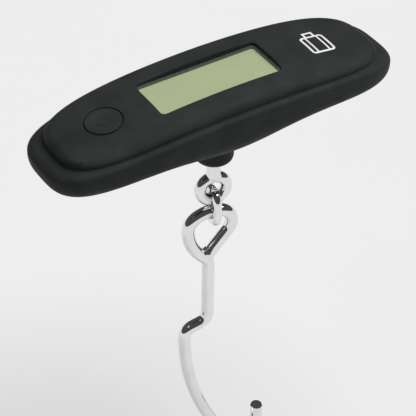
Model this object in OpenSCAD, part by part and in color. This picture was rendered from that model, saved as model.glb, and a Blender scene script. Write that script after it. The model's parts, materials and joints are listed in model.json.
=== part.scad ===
// Digital luggage scale: a barrel-shaped handheld body over a swivelling ring, a chain link and a wire hook.
// Origin: middle of the grip, on the load axis. X runs along the body, Y across it, Z up. Millimetres.

/* [Body] */
// Half of the body's length
half_len = 64; // [62:0.5:66]
// Half of the body's width
half_wid = 18.74; // [18.4:0.02:19.4]
// Wall thickness of both shells
wall = 2; // [1.8:0.1:2.2]
// Height of the ledge at mid length
ledge_h = 7.7; // [7.5:0.1:8]
// Height of the raised plateau at mid length
plateau_h = 12.4; // [12.2:0.1:12.8]
// Width of the plateau's inset along the sides
plateau_side = 2.9; // [2.7:0.1:3.1]
// Width of the plateau's inset at the two ends
plateau_end = 6.05; // [5.8:0.05:6.3]
// Radius of the boss that the hook hangs from
boss_r = 6.6; // [6.4:0.1:6.7]
// Lowest point of the boss, below the origin
boss_drop = 22; // [21.5:0.5:22.5]

/* [Display] */
// Centre of the display window along the body
window_x = -2.7; // [-3:0.1:-2.5]
// Length of the display window
window_l = 43.5; // [43:0.5:44]
// Width of the display window
window_w = 16; // [15.5:0.5:16]

/* [Button] */
// Centre of the power button along the body
button_x = -40.9; // [-41:0.1:-40.7]
// Radius of the power button
button_r = 6; // [5.9:0.05:6.2]

/* [Hook set] */
// Turn of the ring, link and hook about the vertical axis, degrees
hang_turn = -10; // [-20:1:20]
// Radius of the ring's wire
ring_wire_r = 2; // [1.9:0.05:2]
// Radius of the ring, to the middle of its wire
ring_r = 4.7; // [4.6:0.1:4.8]
// Height of the ring's centre
ring_z = -34.8; // [-34.9:0.1:-34.7]
// Radius of the link's wire
link_wire_r = 1.5; // [1.45:0.05:1.55]
// Radius of the link's rounded ends, to the middle of its wire
link_r = 4; // [4:0.05:4.15]
// Length of the link's straight sides
link_straight = 4.5; // [4.5:0.1:4.7]
// Radius of the hook's wire
hook_wire_r = 2.25; // [2.1:0.05:2.25]

/* [Hidden] */

$fn = 48;
eps = 0.01;
long = 60;

// Outline of the body from above: a squared-off oval.
outline_steps = 72;
outline_px = 5.4;
outline_py = 3.28;
shell_colour = [0.16, 0.17, 0.17];
board_colour = [0.05, 0.3, 0.15];
steel_colour = [0.82, 0.83, 0.85];

// Heights of the body's surfaces, each as a function of the place along it.
function arch(x, k) = 1 - k * pow(x / 64, 2);
function ledge_z(x) = ledge_h * arch(x, 0.575);
function plateau_z(x) = plateau_h * arch(x, 0.553);
function parting_z(x) = 2.9 - 2.6 * pow(x / 64, 2);
function belly_z(x) =
    let (u = x / 64)
    -(3.66 + 12 * pow(u, 2) - 6.08 * pow(u, 4) + 8.14 * exp(-pow(x / 23.74, 2)));

function spow(v, p) = sign(v) * pow(abs(v), p);

// One point of the outline, set in from it by inx at the ends and iny at the sides.
function rim(i, inx, iny) =
    let (a = 360 * i / outline_steps)
    [
        (half_len - inx) * spow(cos(a), 2 / outline_px),
        (half_wid - iny) * spow(sin(a), 2 / outline_py)
    ];

// One ring of points: the outline at an inset, each point at the height that a function of x gives.
function ring(inx, iny, height) = [
    for (i = [0 : outline_steps - 1])
        let (p = rim(i, inx, iny))
        [p[0], p[1], height(p[0])]
];

// Closed solid through rings from low to high. Both ends close with strips across the body.
module loft(rings) {
    n = outline_steps;
    last = (len(rings) - 1) * n;
    sides = [
        for (k = [0 : len(rings) - 2], i = [0 : n - 1])
            let (a = k * n + i, b = k * n + (i + 1) % n)
            for (t = [[a, a + n, b + n], [a, b + n, b]]) t
    ];
    low = [
        for (i = [0 : n / 2 - 1])
            let (a = i, b = i + 1, c = n - i - 1, d = (n - i) % n)
            for (t = [[a, b, c], [a, c, d]])
                if (t[0] != t[1] && t[1] != t[2] && t[0] != t[2]) t
    ];
    high = [for (t = low) [t[2] + last, t[1] + last, t[0] + last]];
    polyhedron(points = [for (r = rings, p = r) p], faces = concat(sides, low, high));
}

// Upper half of the body grown inwards by t: outer skin at t = 0, inner cavity at t = wall.
groove = 0.25;
ledge_edge_x = 3;
ledge_edge_y = 1.9;
plateau_round = 1.5;
module upper_skin(t) {
    edge = [for (a = [0 : 22.5 : 90]) ring(
        t + ledge_edge_x * (1 - cos(a)),
        t + ledge_edge_y * (1 - cos(a)),
        function (x) ledge_z(x) - t - ledge_edge_y * (1 - sin(a))
    )];
    brow = [for (a = [0 : 30 : 90]) ring(
        t + plateau_end + plateau_round * (1 - cos(a)),
        t + plateau_side + plateau_round * (1 - cos(a)),
        function (x) plateau_z(x) - t - plateau_round * (1 - sin(a))
    )];
    foot = t > 0
        ? []
        : [ring(plateau_end - 0.5, plateau_side - 0.35, function (x) ledge_z(x) - 0.55)];
    lip = t > 0
        ? [ring(t, t, function (x) parting_z(x) - eps)]
        : [
            ring(groove, groove, function (x) parting_z(x)),
            ring(0, 0, function (x) parting_z(x) + groove)
        ];
    loft(concat(lip, edge, foot, brow));
}

// Lower half of the body: a rounded belly whose depth waves along the grip.
belly_px = 2.4;
belly_run = 18.7;
module lower_skin(t) {
    bowl = [for (a = [84, 72, 60, 48, 36, 26, 17, 9])
        let (c = pow(cos(a), 2 / belly_px), s = pow(sin(a), 2 / belly_px))
        ring(
            t + belly_run * (1 - c),
            t + (half_wid - t) * (1 - c),
            function (x) (belly_z(x) + t) * s
        )
    ];
    lip = t > 0
        ? [ring(t, t, function (x) parting_z(x) + eps)]
        : [
            ring(0, 0, function (x) parting_z(x) - groove),
            ring(groove, groove, function (x) parting_z(x))
        ];
    loft(concat(bowl, lip));
}

// Upright block with rounded corners, from z0 to z1, centred on x, y.
module slab(x, y, l, w, z0, z1, r) {
    translate([x, y, z0])
        linear_extrude(z1 - z0)
            union() {
                square([l, w - 2 * r], center = true);
                square([l - 2 * r, w], center = true);
                for (sx = [-1, 1], sy = [-1, 1])
                    translate([sx * (l / 2 - r), sy * (w / 2 - r)])
                        circle(r);
            }
}

// Upright cylinder from z0 to z1.
module post(x, y, r, z0, z1) {
    translate([x, y, z0])
        cylinder(h = z1 - z0, r = r);
}

// Copies children to four mirrored places.
module four(x, y) {
    for (sx = [-1, 1], sy = [-1, 1])
        translate([sx * x, sy * y, 0])
            children();
}

// Round wire along a chain of straight [length] and bent [radius, angle] pieces, in the XY plane.
// Neighbouring pieces stop a hair short of each other inside a ball that joins them.
trim = 0.05;
ball_extra = 0.03;
module wire(path, r, i = 0) {
    if (i < len(path)) {
        piece = path[i];
        if (i > 0)
            sphere(r + ball_extra);
        if (len(piece) == 1) {
            translate([trim, 0, 0])
                rotate([0, 90, 0])
                    cylinder(h = piece[0] - 2 * trim, r = r);
            translate([piece[0], 0, 0])
                wire(path, r, i + 1);
        } else {
            side = sign(piece[1]);
            skip = trim / piece[0] * 180 / PI;
            bend = abs(piece[1]) - 2 * skip;
            translate([0, side * piece[0], 0])
                rotate([0, 0, side > 0 ? skip - 90 : 90 - bend - skip])
                    rotate_extrude(angle = bend)
                        translate([piece[0], 0])
                            circle(r);
            translate([0, side * piece[0], 0])
                rotate([0, 0, piece[1]])
                    translate([0, -side * piece[0], 0])
                        wire(path, r, i + 1);
        }
    }
}

// Thin lead through points, with a ball at every bend.
module lead(points, r) {
    for (i = [0 : len(points) - 2]) {
        d = points[i + 1] - points[i];
        translate(points[i])
            rotate([0, acos(d[2] / norm(d)), atan2(d[1], d[0])])
                cylinder(h = norm(d), r = r);
    }
    for (i = [1 : 1 : len(points) - 2])
        translate(points[i])
            sphere(r);
}

// Display stack, from the board up.
board_z = 2.6;
board_t = 1.2;
board_top = board_z + board_t;
board_x0 = -47;
board_x1 = 27;
board_w = 23.6;
lcd_l = 45;
lcd_w = 17.6;
lcd_z = 6.8;
lcd_t = 1.8;
lip_z = 8.7;
lens_z = 9.8;
lens_t = 1;
fit_gap = 0.1;
window_lip = 0.8;
holder_l = 48;
holder_w = 20.4;

// Screw places.
case_x = 54.5;
case_y = 6.5;
case_post_r = 2;
case_screw_r = 0.95;
thread_gap = 0.05;
board_screw_at = [[-44, 9.5], [-44, -9.5], [24.5, 9.5], [24.5, -9.5]];

// Posts that hang from the cover, and the blind bores in them; the plateau is lower at the -X end.
case_post_z = [1.2, 5.3];
case_bore_top = 4.3;
board_post_r = 2;
board_post_top = [7.6, 10];
board_bore_top = 7;
frame_rim = 1.75;

// Button and switch.
button_gap = 0.25;
button_flange_z = 5.5;
button_flange_t = 0.8;
switch_top = 6.4;
plunger_top = 7;

module top_cover() {
    color(shell_colour)
        difference() {
            union() {
                difference() {
                    upper_skin(0);
                    upper_skin(wall);
                }
                slab(window_x, 0, window_l + 2 * frame_rim, window_w + 2 * frame_rim, lip_z, lens_z + 1, 2);
                four(case_x, case_y)
                    post(0, 0, case_post_r, case_post_z[0], case_post_z[1]);
                for (p = board_screw_at)
                    post(p[0], p[1], board_post_r, board_top, board_post_top[p[0] > 0 ? 1 : 0]);
            }
            slab(window_x, 0, window_l, window_w, lens_z, long, 1.5);
            slab(window_x, 0, window_l - 2 * window_lip, window_w - 2 * window_lip, 0, long, 1);
            post(button_x, 0, button_r + button_gap, 0, long);
            four(case_x, case_y)
                post(0, 0, case_screw_r + thread_gap, 0, case_bore_top);
            for (p = board_screw_at)
                post(p[0], p[1], case_screw_r + thread_gap, 0, board_bore_top);
        }
}

module display_lens() {
    color([0.75, 0.8, 0.75, 0.4])
        slab(window_x, 0, window_l - 2 * fit_gap, window_w - 2 * fit_gap,
            lens_z, lens_z + lens_t, 1.4);
}

module lcd_glass() {
    color([0.66, 0.7, 0.54])
        slab(window_x, 0, lcd_l, lcd_w, lcd_z, lcd_z + lcd_t, 0.3);
}

reflector_t = 0.2;
reflector_w = 13.8;
module lcd_reflector() {
    color([0.75, 0.78, 0.66])
        slab(window_x, 0, lcd_l, reflector_w, lcd_z - reflector_t, lcd_z, 0.3);
}

module lcd_holder() {
    color([0.9, 0.9, 0.88])
        difference() {
            slab(window_x, 0, holder_l, holder_w, board_top, lip_z - fit_gap, 1.2);
            slab(window_x, 0, lcd_l + 2 * fit_gap, lcd_w + 2 * fit_gap, 0, long, 0.35);
        }
}

zebra_w = 1.6;
zebra_l = 43;
module zebra_strips() {
    color([0.85, 0.45, 0.55])
        for (s = [-1, 1])
            slab(window_x, s * (lcd_w - zebra_w) / 2, zebra_l, zebra_w, board_top, lcd_z, 0.3);
}

// The cap's top follows the slope of the plateau where it sits.
cap_slope = atan(2 * plateau_h * 0.553 * -button_x / pow(64, 2));
hollow_r = 4.6;
hollow_top = 7.7;
stem_r = 1.2;
flange_rim = 1.2;
module power_button() {
    color([0.19, 0.2, 0.2])
        difference() {
            union() {
                post(button_x, 0, button_r, button_flange_z, 12);
                post(button_x, 0, button_r + flange_rim, button_flange_z, button_flange_z + button_flange_t);
            }
            difference() {
                post(button_x, 0, hollow_r, 0, hollow_top);
                post(button_x, 0, stem_r, plunger_top + 0.1, hollow_top + 1);
            }
            translate([button_x, 0, plateau_z(button_x)])
                rotate([0, -cap_slope, 0])
                    translate([-10, -10, 0])
                        cube([20, 20, 10]);
        }
}

module tact_switch() {
    color([0.12, 0.12, 0.12])
        difference() {
            slab(button_x, 0, 6, 6, board_top, switch_top, 0.4);
            post(button_x, 0, 1.75, 5.6, long);
        }
}

module switch_plunger() {
    color([0.2, 0.2, 0.2])
        post(button_x, 0, 1.7, 6.15, plunger_top);
}

// The board has a round opening for the nut and a corner radius at each end.
nut_hole_r = 5.4;
module circuit_board() {
    color(board_colour)
        difference() {
            slab((board_x0 + board_x1) / 2, 0, board_x1 - board_x0, board_w, board_z, board_top, 4);
            post(0, 0, nut_hole_r, 0, long);
            for (p = board_screw_at)
                post(p[0], p[1], case_screw_r + 0.15, 0, long);
        }
}

// Low dome of cast resin over the controller.
blob_x = 13;
blob_r = 8.2;
blob_sink = 6.5;
module controller_blob() {
    color([0.06, 0.06, 0.06])
        translate([blob_x, 0, board_top])
            intersection() {
                translate([0, 0, -blob_sink])
                    sphere(blob_r);
                cylinder(h = 3, r = 6);
            }
}

// Sixteen-leg package.
chip_x = -15;
chip_l = 9.9;
chip_w = 3.9;
leg_pitch = 1.27;
leg_w = 0.4;
leg_l = 1.1;
module amplifier_chip() {
    color([0.08, 0.08, 0.08]) {
        slab(chip_x, 0, chip_l, chip_w, board_top + 0.1, board_top + 1.5, 0.2);
        for (s = [-1, 1], i = [-3.5 : 1 : 3.5])
            translate([chip_x + i * leg_pitch - leg_w / 2, s * (chip_w + leg_l) / 2 - leg_l / 2, board_top])
                cube([leg_w, leg_l, 0.6]);
    }
}

crystal_at = [9, -6.05];
crystal_l = 8;
crystal_r = 1.05;
module crystal() {
    color(steel_colour)
        translate([crystal_at[0], crystal_at[1], board_top + crystal_r])
            rotate([0, 90, 0])
                cylinder(h = crystal_l, r = crystal_r);
}

// Resistors and capacitors in two short rows.
module board_parts() {
    color([0.55, 0.42, 0.3])
        for (i = [0 : 3], s = [-1, 1])
            slab(-32 + 2.4 * (i % 2), s * (3 + 2 * floor(i / 2)), 1.6, 0.8,
                board_top, board_top + 0.6, 0.1);
}

module board_screws() {
    color(steel_colour)
        for (p = board_screw_at) {
            post(p[0], p[1], 1.85, board_z - 1.2, board_z);
            post(p[0], p[1], case_screw_r, board_z, 6.6);
        }
}

// Bending beam: fixed at its -X end, loaded by the eye bolt at x = 0.
beam_x0 = -49;
beam_x1 = 7;
beam_w = 12;
beam_z0 = -5;
beam_z1 = 1.6;
beam_mid = (beam_z0 + beam_z1) / 2;
gauge_x = [-25, -15];
window_r = 2.3;
shank_r = 2.4;
running_gap = 0.05;
cell_screw_x = [-44, -36];
cell_screw_r = 1.5;
module load_cell() {
    color([0.78, 0.79, 0.8])
        difference() {
            translate([beam_x0, -beam_w / 2, beam_z0])
                cube([beam_x1 - beam_x0, beam_w, beam_z1 - beam_z0]);
            for (x = gauge_x)
                translate([x, beam_w, beam_mid])
                    rotate([90, 0, 0])
                        cylinder(h = 2 * beam_w, r = window_r);
            translate([gauge_x[0], -beam_w, beam_mid - 0.6])
                cube([gauge_x[1] - gauge_x[0], 2 * beam_w, 1.2]);
            post(0, 0, shank_r + running_gap, -long, long);
            for (x = cell_screw_x)
                post(x, 0, cell_screw_r + thread_gap, -long, long);
        }
}

gauge_t = 0.15;
module strain_gauges() {
    color([0.85, 0.6, 0.25])
        for (x = gauge_x, z = [beam_z0 - gauge_t, beam_z1])
            slab(x, 0, 5, 7, z, z + gauge_t, 0.5);
}

// Four leads, one from each gauge, round the beam's edge to the board.
module load_cell_wires() {
    lead_r = 0.35;
    color([0.75, 0.1, 0.1])
        for (i = [0, 1], up = [0, 1]) {
            s = i == 0 ? -1 : 1;
            x = gauge_x[i] + (up ? -1.2 : 1.2);
            z = up ? beam_z1 + lead_r + 0.02 : beam_z0 - lead_r - 0.02;
            lead([
                [x, s * 3.8, z],
                [x, s * 7.2, z],
                [x, s * 7.2, board_z]
            ], lead_r);
        }
}

spacer_t = 0.4;
spacer_l = 15;
module spacer_plate() {
    color(steel_colour)
        difference() {
            slab(-41, 0, spacer_l, beam_w, beam_z0 - spacer_t, beam_z0, 1);
            for (x = cell_screw_x)
                post(x, 0, cell_screw_r + thread_gap, -long, long);
        }
}

cell_head_z = -6.4;
cell_head_r = 2.75;
module load_cell_screws() {
    color(steel_colour)
        for (x = cell_screw_x)
            difference() {
                union() {
                    post(x, 0, cell_screw_r, cell_head_z - eps, 1.2);
                    post(x, 0, cell_head_r, cell_head_z - 1.2, cell_head_z);
                }
                translate([x - 2, -0.35, cell_head_z - 2])
                    cube([4, 0.7, 1.4]);
                translate([x - 0.35, -2, cell_head_z - 2])
                    cube([0.7, 4, 1.4]);
            }
}

washer_t = 0.5;
module thrust_washer() {
    color([0.8, 0.68, 0.4])
        difference() {
            post(0, 0, 4.9, beam_z1, beam_z1 + washer_t);
            post(0, 0, shank_r + running_gap, 0, long);
        }
}

// Locking nut that rides on the washer and turns with the eye bolt.
nut_z = beam_z1 + washer_t + 0.05;
nut_t = 2.6;
nut_flats = 8;
module lock_nut() {
    color(steel_colour)
        difference() {
            translate([0, 0, nut_z])
                rotate([0, 0, hang_turn])
                    cylinder(h = nut_t, d = nut_flats / cos(30), $fn = 6);
            post(0, 0, shank_r, 0, long);
        }
}

module eye_bolt() {
    color(steel_colour)
        rotate([0, 0, hang_turn]) {
            translate([0, 0, ring_z])
                rotate([90, 0, 0])
                    rotate_extrude()
                        translate([ring_r, 0])
                            circle(ring_wire_r);
            post(0, 0, shank_r, ring_z + ring_r, nut_z + nut_t + 0.5);
        }
}

// The link rests on the ring's bottom wire, and the hook on the link's, each with a hair of play.
play = 0.15;
swing_z = ring_z - ring_r;
link_top_z = swing_z + ring_wire_r + link_wire_r + play;
link_low_z = link_top_z - 2 * link_r - link_straight;
module link() {
    color(steel_colour)
        rotate([0, 0, hang_turn])
            rotate([0, 90, 0])
                translate([-link_top_z + link_r, 0, 0])
                    union() {
                        for (s = [-1, 1])
                            translate([0, s * link_r, 0])
                                rotate([0, 90, 0])
                                    cylinder(h = link_straight, r = link_wire_r);
                        rotate([0, 0, 90])
                            rotate_extrude(angle = 180)
                                translate([link_r, 0])
                                    circle(link_wire_r);
                        translate([link_straight, 0, 0])
                            rotate([0, 0, -90])
                                rotate_extrude(angle = 180)
                                    translate([link_r, 0])
                                        circle(link_wire_r);
                    }
}

// Hook outline from the top of its eye: one side closes the eye, the other runs down to the tip.
hook_top_z = link_low_z + link_wire_r + hook_wire_r + play;
eye_side = [[8, -30], [6, -98], [12.5]];
bowl_r = 7.4;
tip_len = 6;
hook_side = [
    [12, 30], [5.8, 60], [18, 47], [6, -47], [22], [4.5, -73], [2.4], [4.5, 73],
    [100, 25], [13.5], [bowl_r, 155], [tip_len]
];
module hook() {
    color(steel_colour)
        rotate([0, 0, hang_turn])
            translate([0, 0, hook_top_z])
                rotate([90, 0, 0])
                    union() {
                        sphere(hook_wire_r + ball_extra);
                        wire(eye_side, hook_wire_r);
                        rotate([0, 0, 180])
                            wire(hook_side, hook_wire_r);
                    }
}

// Battery bay in the lower shell, under the +X end of the grip.
contact_t = 0.2;
tab_x = 28;
tab_z = -1.4;
coin_x = 40;
coin_r = 10;
coin_t = 3.2;
coin_z = -4.7;
bay_gap = 0.35;
bay_wall = 1.2;
bay_roof = -1;
door_l = 21.5;
door_w = 22.4;
door_gap = 0.3;
door_inner_z = -5.2;
shelf_z = -4;
case_head_z = -3;

module door_plan(grow, z0, z1) {
    slab(coin_x, 0, door_l + 2 * grow, door_w + 2 * grow, z0, z1, 3);
}

// Half section of the boss, with a quarter-round edge at its foot.
boss_edge = 2.2;
boss_top = -10;
module boss_section() {
    translate([0, -boss_drop + boss_edge])
        square([boss_r, boss_top + boss_drop - boss_edge]);
    translate([0, -boss_drop])
        square([boss_r - boss_edge, boss_edge]);
    translate([boss_r - boss_edge, -boss_drop + boss_edge])
        intersection() {
            circle(boss_edge);
            translate([0, -boss_edge])
                square([boss_edge, boss_edge]);
        }
}

// Seats in the lower shell: a pad under the beam, posts for the case screws, holes for their heads.
pad_from = [-49, -6.5, -7];
pad_size = [16, 13];
case_boss_r = 3;
case_boss_z = [-6.4, 0.6];
case_head_hole_r = 2.15;
module bottom_shell() {
    color(shell_colour)
        difference() {
            union() {
                difference() {
                    lower_skin(0);
                    lower_skin(wall);
                }
                rotate_extrude()
                    boss_section();
                translate(pad_from)
                    cube([pad_size[0], pad_size[1], beam_z0 - spacer_t - pad_from[2]]);
                four(case_x, case_y)
                    post(0, 0, case_boss_r, case_boss_z[0], case_boss_z[1]);
                intersection() {
                    door_plan(bay_wall, door_inner_z - bay_wall, shelf_z);
                    lower_skin(0.5);
                }
                post(coin_x, 0, coin_r + bay_gap + bay_wall, -6, bay_roof + 1);
            }
            translate([tab_x, -4, coin_z + 0.1])
                cube([4, 8, bay_roof - coin_z - 0.1]);
            post(0, 0, shank_r + 0.6, -long, long);
            post(coin_x, 0, coin_r + bay_gap, -long, bay_roof);
            door_plan(door_gap, -long, door_inner_z + 0.1);
            for (x = cell_screw_x) {
                post(x, 0, cell_screw_r + thread_gap, -long, 0);
                post(x, 0, cell_head_r + 0.25, -long, cell_head_z);
            }
            four(case_x, case_y) {
                post(0, 0, case_screw_r + 0.2, -long, long);
                post(0, 0, case_head_hole_r, -long, case_head_z);
            }
        }
}

module battery_door() {
    color([0.17, 0.18, 0.18])
        difference() {
            intersection() {
                lower_skin(0);
                door_plan(0, -long, door_inner_z);
            }
            for (i = [-2 : 2])
                translate([coin_x + 5 + i * 1.6, 0, -9.6])
                    cube([0.8, 9, 4], center = true);
        }
}

module coin_cell() {
    color(steel_colour) {
        post(coin_x, 0, coin_r, coin_z, coin_z + 2.6);
        post(coin_x, 0, coin_r - 1.4, coin_z + 2.6 - eps, coin_z + coin_t);
    }
}

// Contacts: one presses the cell's rim, the other its top. Both leave the bay through a notch.
module contact_positive() {
    color([0.83, 0.8, 0.7]) {
        translate([coin_x - coin_r - contact_t - 0.05, 0.9, coin_z + 0.4])
            cube([contact_t, 2.6, tab_z - coin_z - 0.4 + contact_t]);
        translate([tab_x, 0.9, tab_z])
            cube([coin_x - coin_r - 0.05 - tab_x, 2.6, contact_t]);
    }
}

module contact_negative() {
    color([0.83, 0.8, 0.7]) {
        post(coin_x, 0, 4, tab_z, tab_z + contact_t);
        translate([tab_x, -3.5, tab_z])
            cube([coin_x - tab_x, 2.6, contact_t]);
    }
}

module battery_wires() {
    lead_r = 0.4;
    color([0.1, 0.1, 0.1])
        for (s = [-1, 1])
            lead([
                [tab_x + 0.3, s * 2.2, tab_z - lead_r - 0.02],
                [tab_x - 3, s * 2.2, tab_z - lead_r - 0.02],
                [tab_x - 3, s * 2.2, board_z]
            ], lead_r);
}

module case_screws() {
    color(steel_colour)
        four(case_x, case_y)
            difference() {
                union() {
                    post(0, 0, 2, case_head_z - 1.6, case_head_z);
                    post(0, 0, case_screw_r, case_head_z - eps, 4);
                }
                for (a = [0, 90])
                    rotate([0, 0, a])
                        translate([-1.4, -0.25, case_head_z - 2.6])
                            cube([2.8, 0.5, 1.8]);
            }
}

top_cover();
bottom_shell();
display_lens();
lcd_glass();
lcd_reflector();
lcd_holder();
zebra_strips();
power_button();
tact_switch();
switch_plunger();
circuit_board();
controller_blob();
amplifier_chip();
crystal();
board_parts();
board_screws();
load_cell();
strain_gauges();
load_cell_wires();
spacer_plate();
load_cell_screws();
thrust_washer();
lock_nut();
eye_bolt();
link();
hook();
coin_cell();
contact_positive();
contact_negative();
battery_door();
battery_wires();
case_screws();
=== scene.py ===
"""Looks of a handheld digital luggage scale.

A matte grip carries a display and a button; a chromed ring, link and wire hook hang from it.
Shapes are worked out in millimetres, in the frame's own axes, and become metres as meshes.
"""

import json
import math

import bmesh
import bpy
import numpy as np
from mathutils import Matrix, Vector
from mathutils.geometry import delaunay_2d_cdt

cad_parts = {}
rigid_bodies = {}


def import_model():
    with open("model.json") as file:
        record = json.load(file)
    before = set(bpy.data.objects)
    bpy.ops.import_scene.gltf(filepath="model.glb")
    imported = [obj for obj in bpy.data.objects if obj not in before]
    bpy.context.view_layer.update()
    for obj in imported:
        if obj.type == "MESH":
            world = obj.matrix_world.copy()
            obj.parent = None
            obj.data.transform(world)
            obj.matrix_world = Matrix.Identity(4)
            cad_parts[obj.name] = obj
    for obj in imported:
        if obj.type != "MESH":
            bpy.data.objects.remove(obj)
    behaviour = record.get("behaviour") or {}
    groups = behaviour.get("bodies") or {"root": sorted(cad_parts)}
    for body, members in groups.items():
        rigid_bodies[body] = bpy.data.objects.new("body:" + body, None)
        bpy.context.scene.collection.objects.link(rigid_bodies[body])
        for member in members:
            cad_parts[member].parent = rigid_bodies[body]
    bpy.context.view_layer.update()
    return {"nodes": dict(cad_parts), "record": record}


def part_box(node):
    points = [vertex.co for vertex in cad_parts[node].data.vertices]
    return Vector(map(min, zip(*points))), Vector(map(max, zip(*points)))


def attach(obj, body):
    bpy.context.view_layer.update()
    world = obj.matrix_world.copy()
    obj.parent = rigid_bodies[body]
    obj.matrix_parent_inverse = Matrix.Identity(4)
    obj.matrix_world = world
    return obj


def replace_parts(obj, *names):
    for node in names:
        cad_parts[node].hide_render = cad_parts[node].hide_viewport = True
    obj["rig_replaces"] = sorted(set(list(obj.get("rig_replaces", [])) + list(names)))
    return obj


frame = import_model()

MM = 0.001


def box_mm(node):
    """Lowest and highest corner of a CAD node, in millimetres."""
    low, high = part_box(node)
    return np.array(low) / MM, np.array(high) / MM


# ---------------------------------------------------------------- sizes

cover_high = box_mm("top_cover")[1]
shell_low = box_mm("bottom_shell")[0]
button_low, button_high = box_mm("power_button")
lens_low, lens_high = box_mm("display_lens")
lcd_low, lcd_high = box_mm("lcd_glass")
door_low, door_high = box_mm("battery_door")
eye_high = box_mm("eye_bolt")[1]
hook_low = box_mm("hook")[0]

HALF_LEN = cover_high[0]
HALF_WID = cover_high[1]
NOMINAL_HALF = 64
POWER_X = 5.4
POWER_Y = 3.28
LEDGE_H = 7.7
LEDGE_ARCH = 0.575
LEDGE_DROP = 1.0
PLATEAU_H = cover_high[2]
PLATEAU_ARCH = 0.553
PARTING_H = 2.9
PARTING_FALL = 2.6
WALL = 2.0
SEAM = 0.04
LEDGE_EDGE = (3.0, 1.9)
PLATEAU_FOOT = (5.4, 2.3)
FOOT_FILLET = 0.4
FOOT_SHARE = 0.15
BROW = 2.6
BROW_SHARE = 0.55
INNER_FOOT = (8.05, 4.9)
INNER_BROW = 1.5
BELLY_RUN = 18.7
BELLY_POWER = 2.4
BELLY_DEPTH = 3.66
BELLY_FALL = 12
BELLY_RISE = 6.08
SWELL = 8.14
SWELL_RUN = 23.74
OUTLINE_POINTS = 320
CELL = 0.9

BOSS_R = 6.6
BOSS_Z = shell_low[2]
BOSS_EDGE = 2.2
SHANK_HOLE = 3.0
SHANK_HOLE_TOP = -7.0
SHANK_HOLE_EDGE = 0.25

WINDOW_GROW = (1.2, 0.8)
WINDOW_SHIFT = 0.4
LENS_PLAY = 0.2
WINDOW_X = (lens_low[0] + lens_high[0]) / 2 + WINDOW_SHIFT
WINDOW_L = lens_high[0] - lens_low[0] + LENS_PLAY + WINDOW_GROW[0]
WINDOW_W = lens_high[1] - lens_low[1] + LENS_PLAY + WINDOW_GROW[1]
LENS_Z = lens_low[2]
LENS_TOP = lens_high[2]
LCD_X = (lcd_low[0] + lcd_high[0]) / 2
BUTTON_X = (button_low[0] + button_high[0]) / 2
BUTTON_R = 6.0
BUTTON_GAP = 0.25

DOOR_X = (door_low[0] + door_high[0]) / 2
DOOR_L = door_high[0] - door_low[0]
DOOR_W = door_high[1] - door_low[1]
DOOR_Z = door_high[2]
BAY_R = 10.35

HANG_TURN = math.radians(-10)
RING_WIRE = 2.0
RING_R = 4.7
RING_Z = -34.8
LINK_WIRE = 1.5
LINK_R = 4.0
LINK_STRAIGHT = 4.5
LINK_PLAY = 0.15
LINK_TOP = RING_Z - RING_R + RING_WIRE + LINK_WIRE + LINK_PLAY
HOOK_WIRE = 2.25
HOOK_TOP = LINK_TOP - 2 * LINK_R - LINK_STRAIGHT + LINK_WIRE + HOOK_WIRE + LINK_PLAY


# ---------------------------------------------------------------- the body's surfaces

def arch(x, k):
    return 1 - k * (x / NOMINAL_HALF) ** 2


def ledge_z(x):
    return LEDGE_H * arch(x, LEDGE_ARCH)


def shoulder_z(x):
    """Height of the ledge on the outside, a little below the moulding's nominal level."""
    return ledge_z(x) - LEDGE_DROP


def plateau_z(x):
    return PLATEAU_H * arch(x, PLATEAU_ARCH)


def parting_z(x):
    return PARTING_H - PARTING_FALL * (x / NOMINAL_HALF) ** 2


def belly_z(x):
    u = x / NOMINAL_HALF
    swell = SWELL * np.exp(-((x / SWELL_RUN) ** 2))
    return -(BELLY_DEPTH + BELLY_FALL * u**2 - BELLY_RISE * u**4 + swell)


def signed_power(v, p):
    return np.sign(v) * np.abs(v) ** p


def outline_angles(count):
    """Angles that space points evenly along the squared-off oval and meet its four extremes."""
    fine = np.linspace(0, math.pi / 2, 4001)
    x = HALF_LEN * np.cos(fine) ** (2 / POWER_X)
    y = HALF_WID * np.sin(fine) ** (2 / POWER_Y)
    run = np.concatenate([[0], np.cumsum(np.hypot(np.diff(x), np.diff(y)))])
    quarter = np.interp(np.linspace(0, run[-1], count // 4 + 1), run, fine)[:-1]
    back = math.pi - np.interp(np.linspace(run[-1], 0, count // 4 + 1), run, fine)[:-1]
    half = np.concatenate([quarter, back])
    return np.concatenate([half, half + math.pi])


ANGLES = outline_angles(OUTLINE_POINTS)


def rim(inset_x, inset_y, height):
    """One ring round the body, inset from its outline, at the height that a function of x gives."""
    x = (HALF_LEN - inset_x) * signed_power(np.cos(ANGLES), 2 / POWER_X)
    y = (HALF_WID - inset_y) * signed_power(np.sin(ANGLES), 2 / POWER_Y)
    return np.column_stack([x, y, height(x)])


def belly_ring(turn, t):
    """Ring of the lower skin grown inwards by t; turn is 0 at the side, 90 degrees underneath."""
    c = math.cos(turn) ** (2 / BELLY_POWER)
    s = math.sin(turn) ** (2 / BELLY_POWER)
    inset_x = t + BELLY_RUN * (1 - c)
    inset_y = t + (HALF_WID - t) * (1 - c)
    return rim(inset_x, inset_y, lambda x: (belly_z(x) + t) * s)


def belly_height(x, y, t=0.0):
    """Height of the lower skin, grown inwards by t, over the point x, y."""
    x, y = np.asarray(x, float), np.asarray(y, float)
    low, high = np.full(x.shape, 1e-4), np.ones(x.shape)
    for _ in range(40):
        c = (low + high) / 2
        out = np.abs(x / (HALF_LEN - t - BELLY_RUN * (1 - c))) ** POWER_X
        out = out + np.abs(y / ((HALF_WID - t) * c)) ** POWER_Y
        low, high = np.where(out > 1, c, low), np.where(out > 1, high, c)
    return (belly_z(x) + t) * (1 - high**BELLY_POWER) ** (1 / BELLY_POWER)


# ---------------------------------------------------------------- mesh building

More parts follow.
